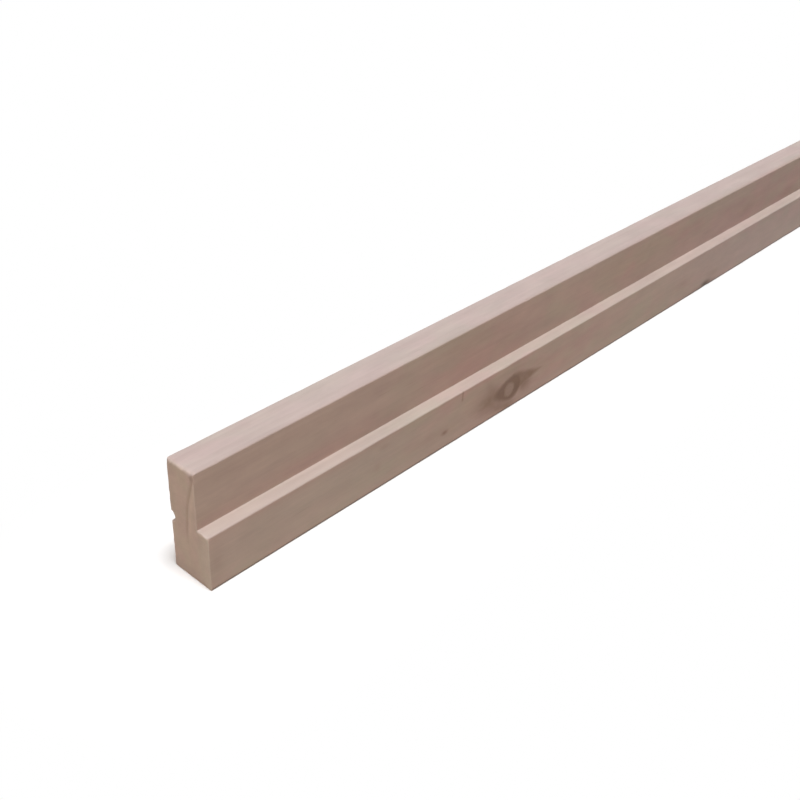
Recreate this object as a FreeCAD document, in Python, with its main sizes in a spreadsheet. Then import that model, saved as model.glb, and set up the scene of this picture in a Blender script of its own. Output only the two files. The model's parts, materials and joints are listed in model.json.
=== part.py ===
import FreeCAD, Part
import math
import os
import Sketcher

# A rebated door jamb leg, planed from one length of softwood.
# Millimetres. X runs along the length, the rebated side faces -Y and the back
# faces +Y. The origin is at the middle of the narrow face that it lies on, so Z = 0
# is the floor.

NODE = "jamb"

# Driving dimensions: name, value, what it measures.
DIMENSIONS = [
    ("stock_length", 2100.0, "length that such legs are sold in"),
    ("stock_thickness", 38.0, "planed thickness, front to back"),
    ("stock_width", 90.0, "planed width, floor to top as it lies"),
    ("rebate_depth", 11.0, "how far the door rebate is cut into the thickness"),
    ("rebate_width", 45.0, "height of the rebate: a 44 mm door and 1 mm to spare"),
    ("groove_radius", 4.0, "half-round groove along the back"),
    ("groove_height", 43.0, "groove centre above the foot"),
    ("arris_radius", 1.0, "eased arrises along the length"),
    ("cutter_overrun", 5.0, "how far a cut runs past the face that it starts from"),
]
SIZE = {name: value for name, value, meaning in DIMENSIONS}

# Where those sizes put the faces of the section.
FRONT = -SIZE["stock_thickness"] / 2
BACK = -FRONT
ROOT = FRONT + SIZE["rebate_depth"]
TOP = SIZE["stock_width"]
STOP = TOP - SIZE["rebate_width"]

# The same places as the sheet works them out, measured from the sketch's origin.
HALF_THICKNESS = "Sizes.stock_thickness / 2"
ROOT_OFFSET = "Sizes.stock_thickness / 2 - Sizes.rebate_depth"
STOP_HEIGHT = "Sizes.stock_width - Sizes.rebate_width"

# Codes of a sketch: its origin, its horizontal axis, and the points of a line or circle.
ORIGIN = (-1, 1)
HORIZONTAL_AXIS = -1
START, END, CENTRE = 1, 2, 3

# How far off a place or a volume may be before the build stops.
PLACE_TOLERANCE = 0.01
VOLUME_SHARE = 0.001


def make_sheet(doc):
    """The sheet of driving dimensions, each with its alias."""
    sheet = doc.addObject("Spreadsheet::Sheet", "Sizes")
    for row, (alias, value, meaning) in enumerate(DIMENSIONS, start=1):
        sheet.set(f"A{row}", meaning)
        sheet.set(f"B{row}", str(value))
        sheet.setAlias(f"B{row}", alias)
    doc.recompute()


def section_sketch(body, name):
    """An empty sketch on the plane across the length: its x is Y, its y is Z."""
    plane = next(f for f in body.Origin.OriginFeatures if f.Role == "YZ_Plane")
    sketch = body.newObject("Sketcher::SketchObject", name)
    sketch.AttachmentSupport = (plane, "")
    sketch.MapMode = "FlatFace"
    return sketch


def drive(sketch, name, kind, *where, by):
    """Adds a named dimension to a sketch and binds it to the sheet."""
    index = sketch.addConstraint(Sketcher.Constraint(kind, *where, 1.0))
    sketch.renameConstraint(index, name)
    sketch.setExpression(f"Constraints.{name}", by)


def draw_rectangle(sketch, left, low, right, high):
    """Four lines round a rectangle, from its lower left corner: 0 to 3."""
    corners = [(left, low), (right, low), (right, high), (left, high)]
    points = [FreeCAD.Vector(x, y, 0) for x, y in corners]
    for first, second in zip(points, points[1:] + points[:1]):
        sketch.addGeometry(Part.LineSegment(first, second), False)
    for line in range(4):
        after = (line + 1) % 4
        sketch.addConstraint(Sketcher.Constraint("Coincident", line, END, after, START))
    for line, kind in enumerate(["Horizontal", "Vertical", "Horizontal", "Vertical"]):
        sketch.addConstraint(Sketcher.Constraint(kind, line))


def pad_stock(body):
    """The planed stock: a rectangle drawn out both ways along the length."""
    sketch = section_sketch(body, "StockSection")
    draw_rectangle(sketch, FRONT, 0, BACK, TOP)
    sketch.addConstraint(
        Sketcher.Constraint("PointOnObject", 0, START, HORIZONTAL_AXIS)
    )
    drive(sketch, "front", "DistanceX", 0, START, *ORIGIN, by=HALF_THICKNESS)
    drive(sketch, "thickness", "DistanceX", 0, START, 0, END, by="Sizes.stock_thickness")
    drive(sketch, "width", "DistanceY", 1, START, 1, END, by="Sizes.stock_width")
    pad = body.newObject("PartDesign::Pad", "Stock")
    pad.Profile = sketch
    pad.SideType = "Symmetric"
    pad.setExpression("Length", "Sizes.stock_length")
    return pad


def cut_along(body, sketch, name):
    """Runs a cutter of the sketch's section along the whole length."""
    cut = body.newObject("PartDesign::Pocket", name)
    cut.Profile = sketch
    cut.SideType = "Symmetric"
    cut.setExpression("Length", "Sizes.stock_length + 2 * Sizes.cutter_overrun")
    return cut


def cut_rebate(body):
    """The door rebate: the upper front corner, cut back to a level stop."""
    sketch = section_sketch(body, "RebateSection")
    overrun = SIZE["cutter_overrun"]
    draw_rectangle(sketch, FRONT - overrun, STOP, ROOT, TOP + overrun)
    drive(sketch, "root", "DistanceX", 0, END, *ORIGIN, by=ROOT_OFFSET)
    drive(sketch, "stop", "DistanceY", *ORIGIN, 0, END, by=STOP_HEIGHT)
    drive(
        sketch, "depth", "DistanceX", 0, START, 0, END,
        by="Sizes.rebate_depth + Sizes.cutter_overrun",
    )
    drive(
        sketch, "rise", "DistanceY", 1, START, 1, END,
        by="Sizes.rebate_width + Sizes.cutter_overrun",
    )
    return cut_along(body, sketch, "DoorRebate")


def cut_back_groove(body):
    """The half-round groove, its centre on the back face."""
    sketch = section_sketch(body, "GrooveSection")
    centre = FreeCAD.Vector(BACK, SIZE["groove_height"], 0)
    along = FreeCAD.Vector(0, 0, 1)
    sketch.addGeometry(Part.Circle(centre, along, SIZE["groove_radius"]), False)
    drive(sketch, "radius", "Radius", 0, by="Sizes.groove_radius")
    drive(sketch, "back", "DistanceX", *ORIGIN, 0, CENTRE, by=HALF_THICKNESS)
    drive(sketch, "height", "DistanceY", *ORIGIN, 0, CENTRE, by="Sizes.groove_height")
    return cut_along(body, sketch, "BackGroove")


def long_edge(shape, y, z):
    """The name of the edge that runs along the length at this place."""
    for index, edge in enumerate(shape.Edges, start=1):
        gaps = [math.hypot(end.Y - y, end.Z - z) for end in edge.Vertexes]
        if max(gaps) < PLACE_TOLERANCE:
            return f"Edge{index}"
    raise RuntimeError(f"no long edge at y {y}, z {z}")


def ease_arrises(body, doc):
    """Rounds the long outer edges: both of the foot, both of the top and the stop's."""
    base = body.Tip
    doc.recompute()
    places = [(FRONT, 0), (BACK, 0), (BACK, TOP), (ROOT, TOP), (FRONT, STOP)]
    rounding = body.newObject("PartDesign::Fillet", "Arrises")
    rounding.Base = (base, [long_edge(base.Shape, y, z) for y, z in places])
    rounding.setExpression("Radius", "Sizes.arris_radius")


def expect_cut(doc, before, feature, area):
    """Checks that a cut took away its section times the length. Gives what is left."""
    doc.recompute()
    expected = area * SIZE["stock_length"]
    taken = before - feature.Shape.Volume
    if abs(taken - expected) > VOLUME_SHARE * expected:
        raise RuntimeError(f"{feature.Name} took away {taken} cubic mm")
    print(f"{feature.Name}: {taken / 1e3:.1f} cubic cm cut away")
    return feature.Shape.Volume


def make_jamb(doc):
    """The whole jamb as one body."""
    body = doc.addObject("PartDesign::Body", NODE)
    body.Label = NODE
    stock = pad_stock(body)
    doc.recompute()
    rebate_area = SIZE["rebate_depth"] * SIZE["rebate_width"]
    volume = expect_cut(doc, stock.Shape.Volume, cut_rebate(body), rebate_area)
    groove_area = math.pi * SIZE["groove_radius"] ** 2 / 2
    expect_cut(doc, volume, cut_back_groove(body), groove_area)
    ease_arrises(body, doc)
    doc.recompute()
    return body


def check_document(doc, body):
    """Stops if any object failed or the solid isn't whole."""
    for item in doc.Objects:
        if "Invalid" in item.State or "Error" in item.State:
            raise RuntimeError(f"{item.Name} failed: {item.State}")
    if body.Shape.isNull() or not body.Shape.isValid():
        raise RuntimeError("the jamb has no valid shape")
    if len(body.Shape.Solids) != 1:
        raise RuntimeError(f"the jamb is {len(body.Shape.Solids)} solids")


def main():
    doc = FreeCAD.newDocument("DoorJamb")
    make_sheet(doc)
    body = make_jamb(doc)
    check_document(doc, body)
    box = body.Shape.BoundBox
    print(f"{NODE}: {box.XLength:.1f} x {box.YLength:.1f} x {box.ZLength:.1f} mm")
    print(f"{NODE}: {body.Shape.Volume / 1e6:.3f} litres")
    os.makedirs("parts", exist_ok=True)
    body.Shape.exportStep(f"parts/{body.Label}.step")


main()
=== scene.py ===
import json
import math
import random

import bpy
from mathutils import Matrix, Vector, geometry, noise


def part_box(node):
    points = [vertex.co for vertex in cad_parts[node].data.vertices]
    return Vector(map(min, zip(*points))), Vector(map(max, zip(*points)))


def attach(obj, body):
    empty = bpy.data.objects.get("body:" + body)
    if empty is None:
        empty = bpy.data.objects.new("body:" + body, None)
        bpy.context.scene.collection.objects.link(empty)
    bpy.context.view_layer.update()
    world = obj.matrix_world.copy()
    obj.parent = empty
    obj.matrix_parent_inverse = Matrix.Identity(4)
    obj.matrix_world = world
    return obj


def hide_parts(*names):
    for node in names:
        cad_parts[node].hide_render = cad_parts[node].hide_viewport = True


# One length of rebated door jamb in planed, unfinished softwood, lying on its narrow
# edge. X runs along the grain, the rebated side faces -Y, Z is up. Metres throughout.

MM = 0.001
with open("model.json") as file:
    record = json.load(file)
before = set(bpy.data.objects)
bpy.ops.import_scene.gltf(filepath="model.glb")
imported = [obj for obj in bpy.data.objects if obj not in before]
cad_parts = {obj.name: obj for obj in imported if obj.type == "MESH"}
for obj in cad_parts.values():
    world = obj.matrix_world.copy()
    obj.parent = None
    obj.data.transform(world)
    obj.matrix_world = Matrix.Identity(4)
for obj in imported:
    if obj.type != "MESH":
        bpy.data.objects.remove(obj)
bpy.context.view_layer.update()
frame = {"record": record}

# Sizes read from the frame
LOW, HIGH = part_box("jamb")
MOUNTS = {mount["name"]: mount["pos_m"] for mount in frame["record"]["mounts"]}
NEAR, FAR = LOW[0], HIGH[0]
FRONT, BACK = LOW[1], HIGH[1]
TOP = HIGH[2]
ROOT = MOUNTS["hinge_face"][1]
STOP = MOUNTS["door_stop_face"][2]

# The rest of the section
ARRIS = 1.0 * MM
ROOT_FILLET = 0.4 * MM
GROOVE_RADIUS = 4.0 * MM
GROOVE_HEIGHT = 43.0 * MM
GROOVE_LIP = 0.8 * MM

# The mesh: the gaps between its points round the section, on the front and elsewhere,
# and how close the first and last point of a stroke lie to its ends
FRONT_STEP = 1.5 * MM
PLAIN_STEP = 4.0 * MM
CORNER_GAP = 0.25 * MM
SHARP_ANGLE = math.radians(38)

# The gaps between its sections along the length: within the stretch that the camera
# sees, past it, the least there is, and how fast they grow from each end
SEEN_LENGTH = 0.95
SEEN_GAP = 5.0 * MM
HIDDEN_GAP = 8.0 * MM
LEAST_GAP = 0.4 * MM
END_GROWTH = 0.15

# Marks on the lower front face: place along the length and height
KNOT_X, KNOT_Z = NEAR + 0.3187, 0.0190
PIN_X, PIN_Z = NEAR + 0.2355, 0.0147
NICK_X, NICK_FOOT = NEAR + 0.2553, 0.0340
BARK_X, BARK_Z = NEAR + 0.6600, 0.0030

# How deep those marks sink the face, and their half length and half height there. The
# nick has its half width, and the height over which it fades in.
KNOT_DEPTH, KNOT_LENGTH, KNOT_HEIGHT = 0.12 * MM, 15 * MM, 11 * MM
PIN_DEPTH, PIN_LENGTH, PIN_HEIGHT = 0.15 * MM, 3.5 * MM, 1.8 * MM
NICK_DEPTH, NICK_WIDTH, NICK_FADE = 0.18 * MM, 0.7 * MM, 3 * MM
BARK_DEPTH, BARK_LENGTH, BARK_HEIGHT = 0.5 * MM, 7 * MM, 2.5 * MM

# Where the sections lie closer: the place, the half length, the gap there, and how fast
# the gap grows past it
CLOSE_PLACES = [
    (KNOT_X, 25 * MM, 1.5 * MM, 0.15),
    (PIN_X, 6 * MM, 1.0 * MM, 0.3),
    (NICK_X, 1.5 * MM, 0.4 * MM, 0.3),
    (BARK_X, 9 * MM, 1.2 * MM, 0.3),
]

# The knot in millimetres: its eye's half length to the left and to the right and its half
# height, its core's half length and half height, and the dark wedge to its right, which
# has a tip, a slope and a height above the knot's middle
EYE_LEFT, EYE_RIGHT, EYE_HEIGHT = 23.5, 12.5, 12.0
CORE_LENGTH, CORE_HEIGHT = 6.7, 6.4
WEDGE_TIP, WEDGE_SLOPE, WEDGE_RISE = 46.0, 0.29, 3.8

# The shadows round the knot, in millimetres from its middle: along, rise, half length,
# half height and strength. Two lie to the left, one to the right and one below.
KNOT_SHADOWS = [
    (-29.0, 0.0, 15.0, 9.0, 0.82),
    (-12.0, -11.0, 14.0, 7.0, 0.55),
    (22.0, -3.5, 10.0, 7.0, 0.82),
    (1.0, -15.5, 10.0, 5.5, 0.60),
]

# Small knocks along the arrises: how many, their reach and their depth in millimetres
DENT_COUNT = 44
DENT_SEED = 5
DENT_REACH = (2.0, 6.0)
DENT_DEPTH = (0.10, 0.35)

# Unevenness of the planed faces, and how much more the arrises have
PLANED_DEPTH = 0.03 * MM
WORN_DEPTH = 0.08 * MM

# The ends: how wide the saw breaks their edges, how much wider along the top, and the
# corners that are worn further
BREAK_LEAST, BREAK_TORN = 0.25 * MM, 0.9 * MM
LIP_LEAST, LIP_MORE = 1.1 * MM, 1.8 * MM
CORNER_REACH = 4 * MM
END_CORNERS = [
    (BACK, TOP, 1.6 * MM),
    (ROOT, TOP, 1.0 * MM),
    (FRONT, STOP, 1.4 * MM),
]

# The ends' net of points, and the arcs that the saw's teeth leave on them
NET_STEP = 1.6 * MM
NET_JITTER = 0.2
NET_CLEARANCE = 0.7
SAW_Y, SAW_Z = -0.16, 0.21
TOOTH_PITCH = 4.2 * MM
TOOTH_DEPTH = 0.02 * MM
ROUGH_DEPTH = 0.04 * MM

# Faint stains on the front faces: from the near end, height, half length, half height
# and strength
STAINS = [
    (0.164, 0.0366, 0.006, 0.0030, 0.45),
    (0.158, 0.0205, 0.004, 0.0050, 0.28),
    (0.225, 0.0180, 0.040, 0.0050, 0.22),
    (0.608, 0.0200, 0.016, 0.0060, 0.30),
    (0.673, 0.0110, 0.012, 0.0050, 0.40),
    (0.750, 0.0600, 0.018, 0.0060, 0.35),
    (0.850, 0.0540, 0.014, 0.0040, 0.30),
    (0.005, 0.0200, 0.007, 0.0200, 0.30),
]

# Broad reddish patches on the same faces, in the same measures
BLUSHES = [
    (0.340, 0.020, 0.130, 0.030, 1.00),
    (0.100, 0.049, 0.130, 0.010, 0.70),
    (0.290, 0.062, 0.060, 0.030, 0.90),
    (0.500, 0.068, 0.060, 0.018, 0.60),
    (0.610, 0.066, 0.060, 0.020, 0.50),
    (0.730, 0.063, 0.065, 0.014, 0.45),
    (0.850, 0.052, 0.015, 0.006, 0.90),
    (0.600, 0.016, 0.080, 0.014, 0.35),
]

# Olive patches on the lower front face, in the same measures
OLIVES = [
    (0.110, 0.028, 0.090, 0.022, 0.90),
    (0.163, 0.029, 0.028, 0.018, 0.90),
    (0.508, 0.024, 0.035, 0.022, 0.60),
]

# The growth rings run round a pith line that lay in front of this length
PITH_Y = FRONT - 0.148
PITH_Z = 0.025
RING_SPACING = 0.0110
DARK_RING = 0.1700

# The wood's surface: how far the streaks and the mottle shift its tone, how rough its
# long faces are, how much rougher its ends, and its sheen and fine relief
STREAK_TONE = (0.88, 1.12)
MOTTLE_TONE = (0.86, 1.14)
SIDE_ROUGHNESS = (0.55, 0.68)
END_ROUGHER = 0.2
SPECULAR = 0.3
BUMP_STRENGTH = 0.3
BUMP_DEPTH = 0.12 * MM

# The photograph's camera: where it stands and how it looks
CAMERA_PLACE = (NEAR - 0.31042, FRONT - 0.42799, 0.48696)
CAMERA_HEADING = math.radians(41.125)
CAMERA_DIP = math.radians(32.622)
CAMERA_ROLL = math.radians(2.738)
CAMERA_LENS = 47.458
CAMERA_SENSOR = 36.0
CAMERA_CLIP = (0.01, 60.0)

# The lamps: name, place, target, length and width, power and tint. A large cool one
# hangs above, a little in front, and weak warm ones stand round the rest.
COOL_LIGHT = (0.80, 0.89, 1.0)
WARM_LIGHT = (1.0, 0.93, 0.86)
LAMPS = [
    ("overhead", (NEAR - 0.3, -1.3, 8.2), (NEAR - 0.3, 0.0, 0.0), (2.6, 1.8), 738.0, COOL_LIGHT),
    ("near_end", (NEAR - 1.8, -0.6, 0.7), (NEAR, 0.0, 0.0), (1.2, 1.0), 15.5, WARM_LIGHT),
    ("far_end", (FAR + 1.5, -0.3, 0.4), (FAR, 0.0, 0.0), (0.8, 0.6), 5.0, WARM_LIGHT),
    ("behind", (0.0, 3.0, 0.25), (0.0, 0.0, TOP / 2), (2.4, 0.4), 14.0, WARM_LIGHT),
]

# The room: the fill from all round, the floor's size, the colour that the floor throws
# on the jamb, the colour that it shows next to it, and the distances over which it turns
# plain white
FILL_TINT = (1.0, 0.97, 0.92, 1.0)
FILL_STRENGTH = 0.14
WHITE = (1.0, 1.0, 1.0, 1.0)
FLOOR_REACH = 14.0
FLOOR_BOUNCE = (0.48, 0.38, 0.27, 1.0)
FLOOR_SEEN = (0.98, 0.91, 0.84, 1.0)
SHADOW_ENDS = (0.03, 0.15)

RELIEF_SEED = 11
noise.seed_set(RELIEF_SEED)


class Stroke:
    """A run of points round the section. arris is 1 on a rounded outer edge, else 0."""

    def __init__(self, points, arris=0.0):
        self.points = points
        self.arris = arris


def line(start, end, step):
    """Points from start up to, but not with, end, closer together next to both."""
    length = math.dist(start, end)
    close = CORNER_GAP / length
    count = max(1, round(length / step))
    inner = [close + (1 - 2 * close) * i / count for i in range(count + 1)]
    shares = [0.0] + inner
    return Stroke([tuple(a + (b - a) * t for a, b in zip(start, end)) for t in shares])


def arc(centre, radius, start, end, count, arris=1.0):
    """Points on an arc from start up to, but not with, end, in degrees from +Y."""
    angles = [math.radians(start + (end - start) * i / count) for i in range(count)]
    points = [
        (centre[0] + radius * math.cos(a), centre[1] + radius * math.sin(a))
        for a in angles
    ]
    return Stroke(points, arris)


def section():
    """The section as strokes, once round: foot, back, top, rebate, stop, lower front."""
    lip_off = math.sqrt(GROOVE_RADIUS**2 + 2 * GROOVE_RADIUS * GROOVE_LIP)
    lip_turn = math.degrees(math.atan2(lip_off, GROOVE_LIP))
    lip_low, lip_high = GROOVE_HEIGHT - lip_off, GROOVE_HEIGHT + lip_off
    return [
        line((FRONT + ARRIS, 0), (BACK - ARRIS, 0), PLAIN_STEP),
        arc((BACK - ARRIS, ARRIS), ARRIS, -90, 0, 4),
        line((BACK, ARRIS), (BACK, lip_low), PLAIN_STEP),
        arc((BACK - GROOVE_LIP, lip_low), GROOVE_LIP, 0, lip_turn, 3),
        arc(
            (BACK, GROOVE_HEIGHT), GROOVE_RADIUS, lip_turn + 180, 180 - lip_turn, 12,
            arris=0.0,
        ),
        arc((BACK - GROOVE_LIP, lip_high), GROOVE_LIP, -lip_turn, 0, 3),
        line((BACK, lip_high), (BACK, TOP - ARRIS), PLAIN_STEP),
        arc((BACK - ARRIS, TOP - ARRIS), ARRIS, 0, 90, 4),
        line((BACK - ARRIS, TOP), (ROOT + ARRIS, TOP), PLAIN_STEP),
        arc((ROOT + ARRIS, TOP - ARRIS), ARRIS, 90, 180, 4),
        line((ROOT, TOP - ARRIS), (ROOT, STOP + ROOT_FILLET), PLAIN_STEP),
        arc(
            (ROOT - ROOT_FILLET, STOP + ROOT_FILLET), ROOT_FILLET, 0, -90, 2, arris=0.0
        ),
        line((ROOT - ROOT_FILLET, STOP), (FRONT + ARRIS, STOP), PLAIN_STEP),
        arc((FRONT + ARRIS, STOP - ARRIS), ARRIS, 90, 180, 4),
        line((FRONT, STOP - ARRIS), (FRONT, ARRIS), FRONT_STEP),
        arc((FRONT + ARRIS, ARRIS), ARRIS, 180, 270, 4),
    ]


def outline():
    """The section's points with their outward directions and arris weights."""
    strokes = section()
    points = [point for stroke in strokes for point in stroke.points]
    arris = [stroke.arris for stroke in strokes for point in stroke.points]
    outward = []
    for i, point in enumerate(points):
        before, after = points[i - 1], points[(i + 1) % len(points)]
        along = Vector((after[0] - before[0], after[1] - before[1])).normalized()
        outward.append((along.y, -along.x))
    return points, outward, arris


def smooth(value, low, high):
    """0 below low, 1 above high, and a smooth step between."""
    t = min(max((value - low) / (high - low), 0.0), 1.0)
    return t * t * (3 - 2 * t)


def station_gap(x):
    """How far apart the sections lie at this place along the length."""
    end = min(x - NEAR, FAR - x)
    gaps = [SEEN_GAP if x < NEAR + SEEN_LENGTH else HIDDEN_GAP]
    gaps.append(LEAST_GAP + END_GROWTH * end)
    for place, half_length, gap, growth in CLOSE_PLACES:
        gaps.append(gap + growth * max(0.0, abs(x - place) - half_length))
    return max(LEAST_GAP, min(gaps))


def stations():
    """Places along the length, from end to end, closer together where there is detail."""
    places = [NEAR]
    while places[-1] < FAR:
        places.append(places[-1] + station_gap(places[-1]))
    stretch = (FAR - NEAR) / (places[-1] - NEAR)
    return [NEAR + (x - NEAR) * stretch for x in places]


def make_dents():
    """The knocks along the arrises: place along the length, height, reach and depth."""
    draw = random.Random(DENT_SEED)
    heights = [TOP, TOP, STOP, 0.0]
    return [
        (
            draw.uniform(NEAR, FAR),
            draw.choice(heights),
            draw.uniform(*DENT_REACH) * MM,
            draw.uniform(*DENT_DEPTH) * MM,
        )
        for _ in range(DENT_COUNT)
    ]


DENTS = make_dents()


def front_marks(x, z):
    """How deep the knot, the pin knot, the nick and the bark pocket sink the front."""
    reach = math.hypot((x - KNOT_X) / KNOT_LENGTH, (z - KNOT_Z) / KNOT_HEIGHT)
    depth = KNOT_DEPTH * math.exp(-(((reach - 0.75) / 0.25) ** 2))
    pin = math.hypot((x - PIN_X) / PIN_LENGTH, (z - PIN_Z) / PIN_HEIGHT)
    depth += PIN_DEPTH * math.exp(-pin * pin)
    within = smooth(z, NICK_FOOT, NICK_FOOT + NICK_FADE)
    depth += NICK_DEPTH * within * math.exp(-(((x - NICK_X) / NICK_WIDTH) ** 2))
    bark = math.hypot((x - BARK_X) / BARK_LENGTH, (z - BARK_Z) / BARK_HEIGHT)
    depth += BARK_DEPTH * math.exp(-bark * bark)
    return depth


def relief(x, y, z, arris):
    """How far the planed surface lies inside the true section here. Never negative."""
    slow = noise.noise(Vector((x * 9, y * 40, z * 40)))
    depth = PLANED_DEPTH * (1 + slow)
    if arris:
        worn = noise.noise(Vector((x * 60, y * 90 + 7, z * 90)))
        depth += WORN_DEPTH * (1 + worn)
        for place, height, reach, deep in DENTS:
            if abs(x - place) < 2 * reach and abs(z - height) < 2 * MM:
                depth += deep * math.exp(-(((x - place) / reach) ** 2))
    if y < FRONT + 0.1 * MM and z < STOP:
        depth += front_marks(x, z)
    return depth


def end_break(x, y, z):
    """The saw leaves the end's edge a little broken, most along the top and the corners."""
    from_end = min(x - NEAR, FAR - x)
    torn = 0.5 + 0.5 * noise.noise(Vector((y * 260, z * 260, x)))
    width = BREAK_LEAST + BREAK_TORN * torn**2
    if z > TOP - 0.5 * MM:
        lip = 0.5 + 0.5 * noise.noise(Vector((y * 150, 2.0, 0.0)))
        width += LIP_LEAST + LIP_MORE * lip
    for corner_y, corner_z, wear in END_CORNERS:
        gap = math.hypot(y - corner_y, z - corner_z) / CORNER_REACH
        width += wear * math.exp(-gap * gap)
    if from_end >= width:
        return 0.0
    return width - math.sqrt(width**2 - (width - from_end) ** 2)


def skin(mesh_points, faces, places, loop):
    """The four long sides as rings of points, one ring at each station."""
    points, outward, arris = loop
    for x in places:
        for (y, z), (out_y, out_z), weight in zip(points, outward, arris):
            depth = relief(x, y, z, weight) + end_break(x, y, z)
            mesh_points.append((x, y - out_y * depth, z - out_z * depth))
    around = len(points)
    for i in range(len(places) - 1):
        for j in range(around):
            after = (j + 1) % around
            ring, following = i * around, (i + 1) * around
            faces.append((ring + j, ring + after, following + after, following + j))


def inside(spot, rim):
    """Whether a spot lies within the closed outline."""
    crossings = 0
    for a, b in zip(rim, rim[1:] + rim[:1]):
        if (a.y > spot.y) != (b.y > spot.y):
            if spot.x < a.x + (spot.y - a.y) / (b.y - a.y) * (b.x - a.x):
                crossings += 1
    return crossings % 2 == 1


def clear_of(spot, rim, gap):
    """Whether a spot keeps this gap from every point of the outline."""
    return all((spot - point).length > gap for point in rim)


def inner_net(rim, seed):
    """Spots about evenly spread inside the outline of an end."""
    draw = random.Random(seed)
    spots = []
    for row in range(int(TOP / NET_STEP) + 1):
        for column in range(int((BACK - FRONT) / NET_STEP) + 1):
            y = FRONT + (column + 0.5 * (row % 2)) * NET_STEP
            y += draw.uniform(-NET_JITTER, NET_JITTER) * MM
            z = row * NET_STEP + draw.uniform(-NET_JITTER, NET_JITTER) * MM
            spot = Vector((y, z))
            if inside(spot, rim) and clear_of(spot, rim, NET_CLEARANCE * NET_STEP):
                spots.append(spot)
    return spots


def saw_marks(y, z):
    """How deep the saw's teeth leave the end inside its plane."""
    sweep = math.hypot(y - SAW_Y, z - SAW_Z)
    teeth = 0.5 + 0.5 * math.sin(sweep * 2 * math.pi / TOOTH_PITCH)
    rough = 0.5 + 0.5 * noise.noise(Vector((y * 500, z * 500, 3.0)))
    return TOOTH_DEPTH * teeth + ROUGH_DEPTH * rough


def end_face(mesh_points, faces, first, around, x, inward):
    """A sawn end: its rim is the ring that starts at first, and inside lies a fine net."""
    rim = [Vector(mesh_points[first + j][1:]) for j in range(around)]
    flat = rim + inner_net(rim, 1 if inward > 0 else 2)
    keep_inside, merge_gap = 1, 1e-7
    found, _, triangles, origin, _, _ = geometry.delaunay_2d_cdt(
        flat, [], [list(range(around))], keep_inside, merge_gap
    )
    number = {}
    for i, spot in enumerate(found):
        sources = origin[i]
        if sources and sources[0] < around:
            number[i] = first + sources[0]
        else:
            number[i] = len(mesh_points)
            mesh_points.append((x + inward * saw_marks(spot.x, spot.y), spot.x, spot.y))
    for triangle in triangles:
        corners = [number[i] for i in triangle]
        faces.append(corners[::-1] if inward > 0 else corners)


def make_jamb():
    """The whole jamb as one closed mesh."""
    places = stations()
    loop = outline()
    around = len(loop[0])
    points, faces = [], []
    skin(points, faces, places, loop)
    end_face(points, faces, 0, around, NEAR, 1)
    end_face(points, faces, (len(places) - 1) * around, around, FAR, -1)
    mesh = bpy.data.meshes.new("jamb_timber")
    mesh.from_pydata(points, [], faces)
    mesh.polygons.foreach_set("use_smooth", [True] * len(mesh.polygons))
    mesh.set_sharp_from_angle(angle=SHARP_ANGLE)
    mesh.validate()
    timber = bpy.data.objects.new("jamb_timber", mesh)
    bpy.context.scene.collection.objects.link(timber)
    print("jamb_timber:", len(places), "stations,", len(mesh.polygons), "faces")
    return timber


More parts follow.
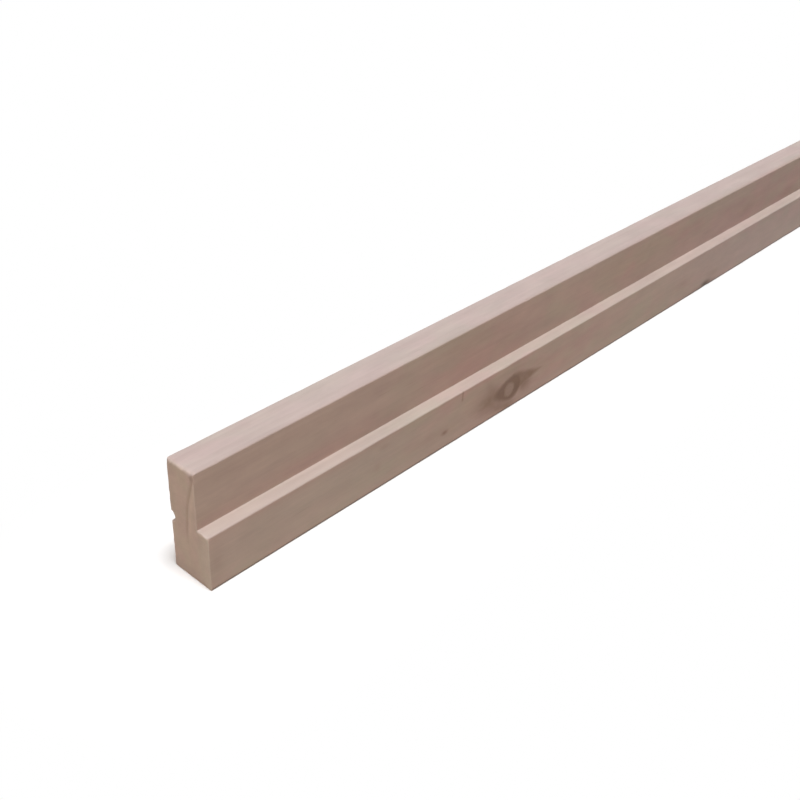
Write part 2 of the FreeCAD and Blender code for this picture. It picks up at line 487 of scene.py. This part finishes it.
class Graph:
    """Short names for the nodes of a material or the world. Numbers and sockets go in,
    and sockets come out."""

    def __init__(self, owner):
        owner.use_nodes = True
        self.tree = owner.node_tree
        self.tree.nodes.clear()

    def give(self, socket, value):
        if isinstance(value, bpy.types.NodeSocket):
            self.tree.links.new(value, socket)
        else:
            socket.default_value = value

    def node(self, kind, values=(), **settings):
        made = self.tree.nodes.new(kind)
        for name, setting in settings.items():
            setattr(made, name, setting)
        pairs = values.items() if isinstance(values, dict) else enumerate(values)
        for key, value in pairs:
            self.give(made.inputs[key], value)
        return made

    def math(self, operation, *values):
        return self.node("ShaderNodeMath", values, operation=operation).outputs[0]

    def add(self, *values):
        total = values[0]
        for value in values[1:]:
            total = self.math("ADD", total, value)
        return total

    def times(self, *values):
        product = values[0]
        for value in values[1:]:
            product = self.math("MULTIPLY", product, value)
        return product

    def less(self, a, b):
        return self.math("SUBTRACT", a, b)

    def larger(self, a, b):
        return self.math("MAXIMUM", a, b)

    def hypot(self, a, b):
        return self.math("SQRT", self.add(self.times(a, a), self.times(b, b)))

    def step(self, value, low, high):
        """0 at low and 1 at high, smoothly. low may be the higher number."""
        ends = (low, high, 0.0, 1.0) if low < high else (high, low, 1.0, 0.0)
        made = self.node("ShaderNodeMapRange", (value, *ends), interpolation_type="SMOOTHSTEP")
        return made.outputs[0]

    def spread(self, value, low, high):
        """A number from 0 to 1 spread from low to high."""
        made = self.node("ShaderNodeMapRange", (value, 0.0, 1.0, low, high))
        return made.outputs[0]

    def hill(self, value, middle, width):
        """A bell that is 1 at middle and nearly 0 two widths away."""
        off = self.math("DIVIDE", self.less(value, middle), width)
        return self.math("EXPONENT", self.times(off, off, -1.0))

    def stretched(self, vector, scale, offset=(0.0, 0.0, 0.0)):
        made = self.node(
            "ShaderNodeVectorMath", (vector, scale, offset), operation="MULTIPLY_ADD"
        )
        return made.outputs[0]

    def noise(self, vector, detail=2.0, roughness=0.5):
        values = {"Vector": vector, "Scale": 1.0, "Detail": detail, "Roughness": roughness}
        return self.node("ShaderNodeTexNoise", values).outputs[0]

    def mix(self, factor, a, b, blend="MIX"):
        made = self.node("ShaderNodeMix", data_type="RGBA", blend_type=blend)
        self.give(made.inputs[0], factor)
        self.give(made.inputs[6], a)
        self.give(made.inputs[7], b)
        return made.outputs[2]

    def combine(self, x, y, z):
        return self.node("ShaderNodeCombineXYZ", (x, y, z)).outputs[0]

    def seen(self):
        """1 for what the camera sees, straight, in a gloss or through glass."""
        rays = self.node("ShaderNodeLightPath").outputs
        sharp = self.larger(rays["Is Glossy Ray"], rays["Is Transmission Ray"])
        return self.larger(rays["Is Camera Ray"], sharp)


def colour(red, green, blue):
    """A colour given in the usual 0 to 255 steps, made linear for a shader."""

    def linear(step):
        share = step / 255
        return share / 12.92 if share <= 0.04045 else ((share + 0.055) / 1.055) ** 2.4

    return (linear(red), linear(green), linear(blue), 1.0)


# The wood's colours, with a painted shade and a painted highlight among them. A tint multiplies
# the colour that it is laid over.
EARLY_WOOD = colour(193, 169, 158)
LATE_WOOD = colour(174, 145, 131)
PINK_CAST = colour(194, 165, 155)
TAN_CAST = colour(187, 171, 154)
BROWN_TINT = (0.84, 0.87, 0.84, 1.0)
# Redder tone of the rebate face, with painted shade for light that falls off along the length
REBATE_TONE_AND_SHADE = (0.93, 0.84, 0.81, 1.0)
RED_TINT = (0.995, 0.90, 0.91, 1.0)
OLIVE_TINT = (0.95, 1.0, 0.985, 1.0)
COOL_TINT = (0.99, 0.99, 1.06, 1.0)
STOP_TINT = (1.01, 1.01, 0.975, 1.0)
END_PINK = colour(184, 161, 151)
END_TAN = colour(182, 163, 150)
END_GREY = colour(184, 170, 158)
END_LATE = colour(152, 128, 113)
END_PALE = colour(200, 178, 165)
# Painted highlight: the pale band along the ends' top and stop edges
END_EDGE_HIGHLIGHT = colour(206, 184, 172)
KNOT_RIM = colour(130, 101, 84)
KNOT_CORE = colour(168, 140, 126)
KNOT_TAIL = colour(146, 117, 100)
STAIN = colour(167, 140, 126)
RESIN = colour(142, 110, 98)
BARK = colour(97, 79, 71)
# Painted shade: the grey laid along the foot of the front face and low on the ends
FOOT_SHADE = colour(112, 104, 100)


def ring_radius(graph, place, x, y, z):
    """Distance from the pith line, which wanders, with the swelling round the knot."""
    drift = graph.noise(graph.combine(graph.times(x, 1.3), 4.1, 8.3), 1.0)
    sway = graph.times(graph.less(drift, 0.5), graph.step(x, NEAR, NEAR + 0.4), 0.012)
    across = graph.add(graph.less(y, PITH_Y), sway)
    rise = graph.add(graph.less(z, PITH_Z), graph.times(sway, 1.7))
    wobble = graph.noise(graph.stretched(place, (2.5, 26.0, 26.0)), 2.0)
    swell = graph.times(graph.hill(x, KNOT_X, 0.038), graph.hill(z, KNOT_Z, 0.016), -0.009)
    return graph.add(graph.hypot(across, rise), graph.spread(wobble, -0.002, 0.002), swell)


def year_lines(graph, radius):
    """The dark lines that end the years: the faint ones, and the one that shows plainly."""
    years = graph.math("DIVIDE", graph.less(radius, DARK_RING), RING_SPACING)
    part = graph.math("FRACT", years)
    faint = graph.times(graph.step(part, 0.45, 0.97), graph.step(part, 1.0, 0.97))
    inner = graph.step(radius, DARK_RING - 0.9 * MM, DARK_RING)
    outer = graph.step(radius, DARK_RING + 3.6 * MM, DARK_RING)
    plain = graph.times(inner, outer)
    return graph.times(faint, 0.22), plain


def fibres(graph, place):
    """Fine streaks along the grain, about 0.5 in the middle."""
    broad = graph.noise(graph.stretched(place, (7.0, 420.0, 420.0)), 3.0, 0.6)
    thin = graph.noise(graph.stretched(place, (30.0, 1500.0, 1500.0)), 2.0, 0.6)
    return graph.add(graph.times(broad, 0.6), graph.times(thin, 0.4))


def resin_flecks(graph, place):
    """Short dark dashes along the grain, where a resin canal comes to the surface."""
    dashes = graph.noise(graph.stretched(place, (45.0, 1100.0, 1100.0), (3.0, 5.0, 1.0)), 1.0)
    return graph.step(dashes, 0.70, 0.80)


def lower_front(graph, y, z):
    """1 on the front face below the stop, and just inside it."""
    near_face = graph.step(y, FRONT + 4 * MM, FRONT + 1 * MM)
    return graph.times(near_face, graph.step(z, STOP + 1 * MM, STOP - 2 * MM))


def patches(graph, along, rise, spots):
    """The sum of soft patches: middle along, height, half length, half height, strength."""
    total = 0.0
    for middle, height, half_length, half_height, strength in spots:
        length_share = graph.hill(along, middle, half_length)
        height_share = graph.hill(rise, height, half_height)
        total = graph.add(total, graph.times(length_share, height_share, strength))
    return total


def knot_colours(graph, place, x, y, z, base):
    """The knot, over the colour base. Its own measures are in millimetres."""
    ragged = graph.noise(graph.stretched(place, (130.0, 60.0, 190.0)), 3.0, 0.6)
    along = graph.math("DIVIDE", graph.less(x, KNOT_X), MM)
    rise = graph.math("DIVIDE", graph.less(z, KNOT_Z), MM)
    here = lower_front(graph, y, z)
    rough_edge = graph.spread(ragged, 0.6, 1.4)

    # The shadows, a slanting streak to the left and the wedge to the right
    shadows = patches(graph, along, rise, KNOT_SHADOWS)
    off_streak = graph.add(
        graph.times(graph.less(rise, 5.0), 0.78), graph.times(graph.add(along, 17.0), 0.62)
    )
    streak = graph.times(
        graph.hill(off_streak, 0.0, 6.0), graph.step(along, -42.0, -24.0),
        graph.step(along, -8.0, -18.0), 0.3,
    )
    half_height = graph.times(graph.less(WEDGE_TIP, along), WEDGE_SLOPE)
    depth = graph.less(half_height, graph.math("ABSOLUTE", graph.less(rise, WEDGE_RISE)))
    wedge = graph.times(graph.step(depth, -2.0, 3.5), graph.step(along, 2.0, 12.0))
    tails = graph.times(graph.larger(wedge, graph.add(shadows, streak)), rough_edge)
    result = graph.mix(graph.times(tails, here, 0.90), base, KNOT_TAIL)

    # The eye: pointed to the left, blunt to the right
    off = graph.less(along, 3.0)
    blunt = graph.step(off, -2.0, 2.0)
    half_length = graph.spread(blunt, EYE_LEFT, EYE_RIGHT)
    long_share = graph.math("ABSOLUTE", graph.math("DIVIDE", off, half_length))
    long_way = graph.math("POWER", long_share, graph.spread(blunt, 1.35, 2.2))
    high_share = graph.math("ABSOLUTE", graph.times(graph.less(rise, 1.2), 1 / EYE_HEIGHT))
    high_way = graph.math("POWER", high_share, 1.8)
    reach = graph.add(long_way, high_way, graph.spread(ragged, -0.22, 0.22))
    eye = graph.times(graph.step(reach, 1.25, 0.65), here)
    result = graph.mix(graph.times(eye, graph.spread(ragged, 0.75, 1.0)), result, KNOT_RIM)

    # The pale core with its own faint circles
    core_span = graph.add(
        graph.hypot(graph.times(along, 1 / CORE_LENGTH), graph.times(rise, 1 / CORE_HEIGHT)),
        graph.spread(ragged, -0.25, 0.25),
    )
    circles = graph.math("SINE", graph.times(core_span, 17.0))
    core_colour = graph.mix(graph.spread(circles, 0.08, 0.20), KNOT_CORE, KNOT_RIM)
    core = graph.times(graph.step(core_span, 1.25, 0.70), here)
    return graph.mix(core, result, core_colour)


def small_marks(graph, x, y, z, base):
    """The pin knot, nick, bark pocket and a painted shade along the foot edge, over the colour
    base.
    """
    here = lower_front(graph, y, z)
    pin = graph.times(graph.hill(x, PIN_X, 3.6 * MM), graph.hill(z, PIN_Z, 1.9 * MM), here)
    result = graph.mix(graph.times(pin, 0.8), base, RESIN)
    tall = graph.step(z, NICK_FOOT, NICK_FOOT + NICK_FADE)
    nick = graph.times(graph.hill(x, NICK_X, 1.1 * MM), tall, here)
    result = graph.mix(graph.times(nick, 0.42), result, KNOT_RIM)
    bark = graph.times(graph.hill(x, BARK_X, 11 * MM), graph.hill(z, BARK_Z, 4.2 * MM), 0.9)
    dark = graph.times(graph.hill(x, BARK_X, 26 * MM), graph.hill(z, 0.0, 5.0 * MM), 0.55)
    result = graph.mix(graph.times(graph.larger(bark, dark), here), result, BARK)
    # Painted shade: a grey line along the foot of the front face, where it meets the floor
    on_front = graph.step(y, FRONT + 3 * MM, FRONT + 1 * MM)
    foot_shade_line = graph.times(graph.step(z, 2.2 * MM, 0.6 * MM), on_front)
    return graph.mix(graph.times(foot_shade_line, 0.75), result, FOOT_SHADE)


def stains(graph, place, x, y, z, upright, base):
    """The casts, broad patches and stains of the rebated side, over the colour base. The
    reddish patches and the stains keep to its upright faces."""
    cloudy = graph.noise(graph.stretched(place, (60.0, 60.0, 160.0)), 2.0, 0.6)
    streaky = graph.noise(graph.stretched(place, (24.0, 90.0, 90.0)), 3.0, 0.55)
    side = graph.step(y, ROOT + 3 * MM, ROOT + 1 * MM)
    front = graph.times(side, upright)
    from_end = graph.less(x, NEAR)
    onward = graph.step(x, NEAR + 0.5, NEAR + 0.75)
    result = graph.mix(graph.times(front, onward), base, COOL_TINT, blend="MULTIPLY")
    above = graph.step(z, STOP - 3 * MM, STOP - 1 * MM)
    below = graph.step(z, STOP + 3 * MM, STOP + 1 * MM)
    on_stop = graph.times(side, graph.less(1.0, upright), above, below)
    result = graph.mix(on_stop, result, STOP_TINT, blend="MULTIPLY")
    blushes = patches(graph, from_end, z, BLUSHES)
    red = graph.times(blushes, front, graph.spread(streaky, 0.1, 1.9))
    result = graph.mix(red, result, RED_TINT, blend="MULTIPLY")
    olives = patches(graph, from_end, z, OLIVES)
    olive = graph.times(olives, side, graph.spread(streaky, 0.5, 1.5))
    result = graph.mix(olive, result, OLIVE_TINT, blend="MULTIPLY")
    spots = patches(graph, from_end, z, STAINS)
    brown = graph.times(spots, front, graph.spread(cloudy, 0.4, 1.6))
    return graph.mix(brown, result, STAIN)


def rebated_side(graph, x, y, z, base):
    """The browner wood of the rebated side, most so in the rebate, which also carries painted
    shade that deepens along the length, over the colour base.
    """
    front = graph.step(y, ROOT + 5 * MM, ROOT)
    result = graph.mix(graph.times(front, 0.25), base, BROWN_TINT, blend="MULTIPLY")
    root = graph.times(graph.step(y, ROOT - 2 * MM, ROOT), graph.step(z, STOP, STOP + 1 * MM))
    # The rebate face turns redder and darker further from the near end: partly the wood's tone,
    # partly painted shade for light that falls off along the length
    onward = graph.spread(graph.step(x, NEAR + 0.45, NEAR + 0.95), 0.3, 0.9)
    return graph.mix(graph.times(front, root, onward), result, REBATE_TONE_AND_SHADE, blend="MULTIPLY")


def side_colours(graph, place, x, y, z, upright, faint):
    """The planed long faces."""
    blotch = graph.noise(graph.stretched(place, (22.0, 44.0, 44.0)), 3.0, 0.5)
    cloud = graph.noise(graph.stretched(place, (4.0, 22.0, 22.0), (9.0, 2.0, 5.0)), 2.0, 0.5)
    cast = graph.mix(graph.step(blotch, 0.36, 0.64), PINK_CAST, TAN_CAST)
    plain = graph.mix(graph.step(cloud, 0.30, 0.70), EARLY_WOOD, cast)
    plain = graph.mix(graph.spread(upright, 0.5, 0.15), plain, EARLY_WOOD)
    plain = rebated_side(graph, x, y, z, plain)
    result = graph.mix(graph.times(faint, 0.55), plain, LATE_WOOD)
    result = graph.mix(graph.times(resin_flecks(graph, place), 0.18), result, RESIN)
    result = stains(graph, place, x, y, z, upright, result)
    result = knot_colours(graph, place, x, y, z, result)
    return small_marks(graph, x, y, z, result)


def end_colours(graph, place, x, y, z, radius, faint, plain):
    """The sawn ends: rings cut across, and a painted highlight along the top and stop edges."""
    blotch = graph.noise(graph.stretched(place, (20.0, 75.0, 60.0), (1.0, 4.0, 2.0)), 2.0, 0.5)
    base = graph.mix(graph.step(blotch, 0.34, 0.66), END_PINK, END_TAN)
    before_root = graph.step(y, ROOT + 4 * MM, ROOT - 5 * MM)
    base = graph.mix(graph.times(before_root, graph.spread(blotch, 0.2, 0.8)), base, END_GREY)
    upper = graph.step(z, 0.018, 0.048)
    pale = graph.times(graph.hill(radius, DARK_RING - 2.4 * MM, 1.6 * MM), upper)
    result = graph.mix(graph.times(pale, 0.50), base, END_PALE)
    lines = graph.larger(graph.times(faint, 0.25), graph.times(plain, upper, 0.42))
    result = graph.mix(lines, result, END_LATE)
    # Painted shade: grey over the lower part of the end, strongest at the foot and fading out
    # towards the front edge
    low = graph.times(graph.step(z, 13 * MM, 2 * MM), graph.step(y, FRONT, FRONT + 12 * MM))
    result = graph.mix(graph.times(low, 0.2), result, FOOT_SHADE)
    # Painted highlight: a pale ragged band along the end's top edge and along the stop's edge,
    # where the rounded edge catches the light
    frayed = graph.noise(graph.stretched(place, (10.0, 190.0, 30.0), (0.0, 3.0, 0.0)), 1.0)
    reach = graph.spread(frayed, 0.0, 5.0 * MM)
    lip = graph.step(graph.add(z, reach), TOP - 0.2 * MM, TOP + 1.4 * MM)
    on_stop = graph.step(y, ROOT, ROOT - 1.5 * MM)
    stop_highlight = graph.times(graph.step(graph.add(z, reach), STOP, STOP + 1.6 * MM), on_stop)
    result = graph.mix(graph.times(graph.larger(lip, stop_highlight), 0.6), result, END_EDGE_HIGHLIGHT)
    # A darker spot on the end, near the corner of the top and the rebate
    dark_corner = graph.times(
        graph.hill(y, ROOT + 2.2 * MM, 2.2 * MM), graph.hill(z, TOP - 4.0 * MM, 3.0 * MM),
        graph.step(x, 0.0, NEAR),
    )
    return graph.mix(graph.times(dark_corner, 0.33), result, BARK)


def make_wood():
    """Planed softwood, solid right through, so that the sides and the ends agree."""
    material = bpy.data.materials.new("planed_softwood")
    graph = Graph(material)
    place = graph.node("ShaderNodeTexCoord").outputs["Object"]
    parts = graph.node("ShaderNodeSeparateXYZ", (place,)).outputs
    x, y, z = parts[0], parts[1], parts[2]
    facing = graph.node("ShaderNodeNewGeometry").outputs["True Normal"]
    facing_parts = graph.node("ShaderNodeSeparateXYZ", (facing,)).outputs
    end = graph.step(graph.math("ABSOLUTE", facing_parts[0]), 0.45, 0.75)
    upright = graph.step(graph.math("ABSOLUTE", facing_parts[2]), 0.85, 0.35)

    radius = ring_radius(graph, place, x, y, z)
    faint, plain = year_lines(graph, radius)
    streaks = fibres(graph, place)
    side = side_colours(graph, place, x, y, z, upright, faint)
    sawn = end_colours(graph, place, x, y, z, radius, faint, plain)
    wood = graph.mix(end, side, sawn)

    mottle = graph.noise(graph.stretched(place, (28.0, 75.0, 75.0), (2.0, 7.0, 4.0)), 3.0, 0.6)
    shade = graph.times(
        graph.spread(streaks, *STREAK_TONE), graph.spread(mottle, *MOTTLE_TONE)
    )
    tone = graph.combine(shade, shade, shade)
    wood = graph.mix(1.0, wood, tone, blend="MULTIPLY")

    rough = graph.add(
        graph.spread(streaks, *SIDE_ROUGHNESS), graph.times(end, END_ROUGHER)
    )
    pits = graph.noise(graph.stretched(place, (900.0, 900.0, 900.0)), 2.0)
    along_grain = graph.times(streaks, graph.less(1.0, end), 0.5)
    height = graph.add(along_grain, graph.times(pits, end, 0.7), graph.times(faint, 0.5))
    bump = graph.node(
        "ShaderNodeBump",
        {"Strength": BUMP_STRENGTH, "Distance": BUMP_DEPTH, "Height": height},
    )
    shader = graph.node(
        "ShaderNodeBsdfPrincipled",
        {"Base Color": wood, "Roughness": rough, "Normal": bump.outputs[0]},
    )
    shader.inputs["Specular IOR Level"].default_value = SPECULAR
    graph.node("ShaderNodeOutputMaterial", {"Surface": shader.outputs[0]})
    return material


def make_floor():
    """A pale floor that shows the camera white and keeps the jamb's soft shadow."""
    mesh = bpy.data.meshes.new("floor")
    reach = FLOOR_REACH
    corners = [(-reach, -reach, 0), (reach, -reach, 0), (reach, reach, 0), (-reach, reach, 0)]
    mesh.from_pydata(corners, [], [(0, 1, 2, 3)])
    floor = bpy.data.objects.new("floor", mesh)
    bpy.context.scene.collection.objects.link(floor)
    material = bpy.data.materials.new("pale_floor")
    graph = Graph(material)
    seen = graph.seen()
    paint = graph.mix(seen, FLOOR_BOUNCE, FLOOR_SEEN)
    lit = graph.node("ShaderNodeBsdfDiffuse", {"Color": paint}).outputs[0]
    white = graph.node("ShaderNodeEmission", {"Color": WHITE}).outputs[0]
    place = graph.node("ShaderNodeTexCoord").outputs["Object"]
    parts = graph.node("ShaderNodeSeparateXYZ", (place,)).outputs
    past_end = graph.larger(graph.less(graph.math("ABSOLUTE", parts[0]), FAR), 0.0)
    away = graph.step(graph.hypot(past_end, parts[1]), *SHADOW_ENDS)
    shader = graph.node("ShaderNodeMixShader", (graph.times(away, seen), lit, white))
    graph.node("ShaderNodeOutputMaterial", {"Surface": shader.outputs[0]})
    mesh.materials.append(material)


def make_world():
    """Even light from all round, and white where the camera sees past the floor."""
    world = bpy.data.worlds.new("studio")
    bpy.context.scene.world = world
    graph = Graph(world)
    fill = graph.node("ShaderNodeBackground", {"Color": FILL_TINT, "Strength": FILL_STRENGTH})
    white = graph.node("ShaderNodeBackground", {"Color": WHITE, "Strength": 1.0})
    either = graph.node(
        "ShaderNodeMixShader", (graph.seen(), fill.outputs[0], white.outputs[0])
    )
    graph.node("ShaderNodeOutputWorld", {"Surface": either.outputs[0]})


def add_lamp(name, place, target, size, power, tint):
    """A rectangular soft lamp that looks at target. size is its length and its width."""
    lamp = bpy.data.lights.new(name, "AREA")
    lamp.shape = "RECTANGLE"
    lamp.size, lamp.size_y = size
    lamp.energy = power
    lamp.color = tint
    held = bpy.data.objects.new(name, lamp)
    held.location = place
    held.rotation_mode = "QUATERNION"
    aim = Vector(target) - Vector(place)
    held.rotation_quaternion = aim.to_track_quat("-Z", "Y")
    held.visible_camera = False
    bpy.context.scene.collection.objects.link(held)


def make_camera():
    """The camera of the photograph, which leans a little to one side."""
    camera = bpy.data.cameras.new("camera")
    camera.lens = CAMERA_LENS
    camera.sensor_width = CAMERA_SENSOR
    camera.clip_start, camera.clip_end = CAMERA_CLIP
    dip, heading = CAMERA_DIP, CAMERA_HEADING
    ahead = Vector(
        (math.cos(heading) * math.cos(dip), math.sin(heading) * math.cos(dip), -math.sin(dip))
    )
    level = Vector((math.sin(heading), -math.cos(heading), 0.0))
    upward = level.cross(ahead)
    lean, hold = math.sin(CAMERA_ROLL), math.cos(CAMERA_ROLL)
    right = level * hold + upward * lean
    over = upward * hold - level * lean
    held = bpy.data.objects.new("camera", camera)
    held.matrix_world = Matrix.Translation(CAMERA_PLACE) @ Matrix(
        (right, over, -ahead)
    ).transposed().to_4x4()
    bpy.context.scene.collection.objects.link(held)
    bpy.context.scene.camera = held


def main():
    bpy.context.scene.view_settings.view_transform = "Standard"
    make_camera()
    make_world()
    for lamp in LAMPS:
        add_lamp(*lamp)
    make_floor()
    timber = make_jamb()
    timber.data.materials.append(make_wood())
    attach(timber, "root")
    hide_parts("jamb")


main()
